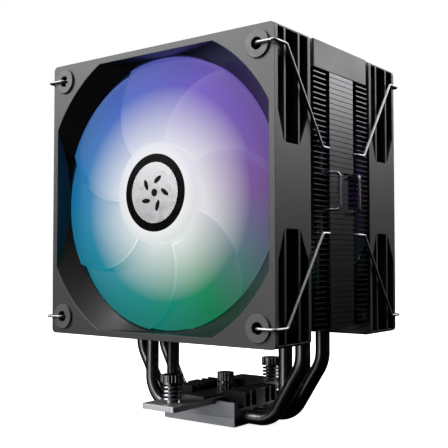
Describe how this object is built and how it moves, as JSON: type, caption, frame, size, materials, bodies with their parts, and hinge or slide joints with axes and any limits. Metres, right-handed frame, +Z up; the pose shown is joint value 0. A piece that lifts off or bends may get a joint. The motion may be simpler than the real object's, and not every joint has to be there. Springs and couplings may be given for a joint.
{
  "type": "cpu tower cooler",
  "caption": "Tower heatsink with heat pipes, stacked fins, a lit axial fan on each face held by wire clips, and a sprung-screw bar over a flat cold plate.",
  "frame": {"origin": "centre of the contact plate's underside, the face that lies on the processor", "axes": "+Z up through the fin stack, -Y towards the intake fan, +X to the right seen from the intake side"},
  "size_m": [0.1282, 0.1048, 0.1575],
  "materials": {
    "frame_plastic": "matte, moulded",
    "pad_rubber": "matte",
    "bearing_bronze": "sintered",
    "core_steel": "stacked sheets",
    "coil_copper": "enamelled wire",
    "board": "solder mask",
    "diode": "clear lens",
    "impeller_plastic": "milky, lit from the hub",
    "label": "printed foil with a plain vane mark",
    "cup_steel": "deep drawn",
    "magnet": "bonded ferrite",
    "shaft_steel": "ground",
    "ring_steel": "spring steel",
    "clip_wire": "drawn wire, bright",
    "screw_steel": "black nickel",
    "knob_steel": "black nickel, knurled",
    "spring_steel": "bright wire",
    "contact_nickel": "nickel plated copper",
    "block_aluminium": "black anodised",
    "bar_steel": "nickel plated",
    "saddle_black": "black",
    "fin_nickel": "black nickel",
    "cover_plastic": "fine matte texture",
    "pipe_nickel": "black nickel"
  },
  "bodies": {
    "root": {"contact_plate": "contact_nickel", "base_block": "block_aluminium", "mounting_bar": "bar_steel", "bar_saddle": "saddle_black", "centre_screw": "knob_steel", "heat_pipe_1": "pipe_nickel", "heat_pipe_2": "pipe_nickel", "heat_pipe_3": "pipe_nickel", "heat_pipe_4": "pipe_nickel", "cooling_fins": "fin_nickel", "top_cover": "cover_plastic", "front_fan_frame": "frame_plastic", "front_fan_pads": "pad_rubber", "front_bearing_sleeve": "bearing_bronze", "front_stator_core": "core_steel", "front_stator_coils": "coil_copper", "front_circuit_board": "board", "front_light_diodes": "diode", "front_mount_spring": "spring_steel", "rear_fan_frame": "frame_plastic", "rear_fan_pads": "pad_rubber", "rear_bearing_sleeve": "bearing_bronze", "rear_stator_core": "core_steel", "rear_stator_coils": "coil_copper", "rear_circuit_board": "board", "rear_light_diodes": "diode", "rear_mount_spring": "spring_steel"},
    "front_rotor": {"front_impeller": "impeller_plastic", "front_hub_label": "label", "front_rotor_cup": "cup_steel", "front_magnet_ring": "magnet", "front_shaft": "shaft_steel", "front_shaft_clip": "ring_steel"},
    "rear_rotor": {"rear_impeller": "impeller_plastic", "rear_hub_label": "label", "rear_rotor_cup": "cup_steel", "rear_magnet_ring": "magnet", "rear_shaft": "shaft_steel", "rear_shaft_clip": "ring_steel"},
    "clip_front_right_body": {"clip_front_right": "clip_wire"},
    "clip_front_left_body": {"clip_front_left": "clip_wire"},
    "clip_rear_right_body": {"clip_rear_right": "clip_wire"},
    "clip_rear_left_body": {"clip_rear_left": "clip_wire"},
    "front_screw_slider": {"front_screw_ring": "ring_steel"},
    "front_screw": {"front_mount_screw": "screw_steel"},
    "rear_screw_slider": {"rear_screw_ring": "ring_steel"},
    "rear_screw": {"rear_mount_screw": "screw_steel"}
  },
  "joints": [
    {"name": "front_fan_spin", "type": "hinge", "parent": "root", "child": "front_rotor", "pos_m": [0, -0.04985, 0.0975], "axis": [0, 1, 0], "continuous": true},
    {"name": "rear_fan_spin", "type": "hinge", "parent": "root", "child": "rear_rotor", "pos_m": [0, 0.04985, 0.0975], "axis": [0, 1, 0], "continuous": true},
    {"name": "clip_front_right_swing", "type": "hinge", "parent": "root", "child": "clip_front_right_body", "pos_m": [0.0525, -0.04985, 0.0975], "axis": [0, 0, -1], "range_deg": [0, 25]},
    {"name": "clip_front_left_swing", "type": "hinge", "parent": "root", "child": "clip_front_left_body", "pos_m": [-0.0525, -0.04985, 0.0975], "axis": [0, 0, 1], "range_deg": [0, 25]},
    {"name": "clip_rear_right_swing", "type": "hinge", "parent": "root", "child": "clip_rear_right_body", "pos_m": [0.0525, 0.04985, 0.0975], "axis": [0, 0, 1], "range_deg": [0, 25]},
    {"name": "clip_rear_left_swing", "type": "hinge", "parent": "root", "child": "clip_rear_left_body", "pos_m": [-0.0525, 0.04985, 0.0975], "axis": [0, 0, -1], "range_deg": [0, 25]},
    {"name": "front_screw_press", "type": "slide", "parent": "root", "child": "front_screw_slider", "axis": [0, 0, -1], "range_m": [0, 0.0025], "stiffness_N_per_m": 2500, "deforming": ["front_mount_spring"]},
    {"name": "front_screw_turn", "type": "hinge", "parent": "front_screw_slider", "child": "front_screw", "pos_m": [0, -0.037, 0.02], "axis": [0, 0, 1], "continuous": true},
    {"name": "rear_screw_press", "type": "slide", "parent": "root", "child": "rear_screw_slider", "axis": [0, 0, -1], "range_m": [0, 0.0025], "stiffness_N_per_m": 2500, "deforming": ["rear_mount_spring"]},
    {"name": "rear_screw_turn", "type": "hinge", "parent": "rear_screw_slider", "child": "rear_screw", "pos_m": [0, 0.037, 0.02], "axis": [0, 0, 1], "continuous": true}
  ]
}
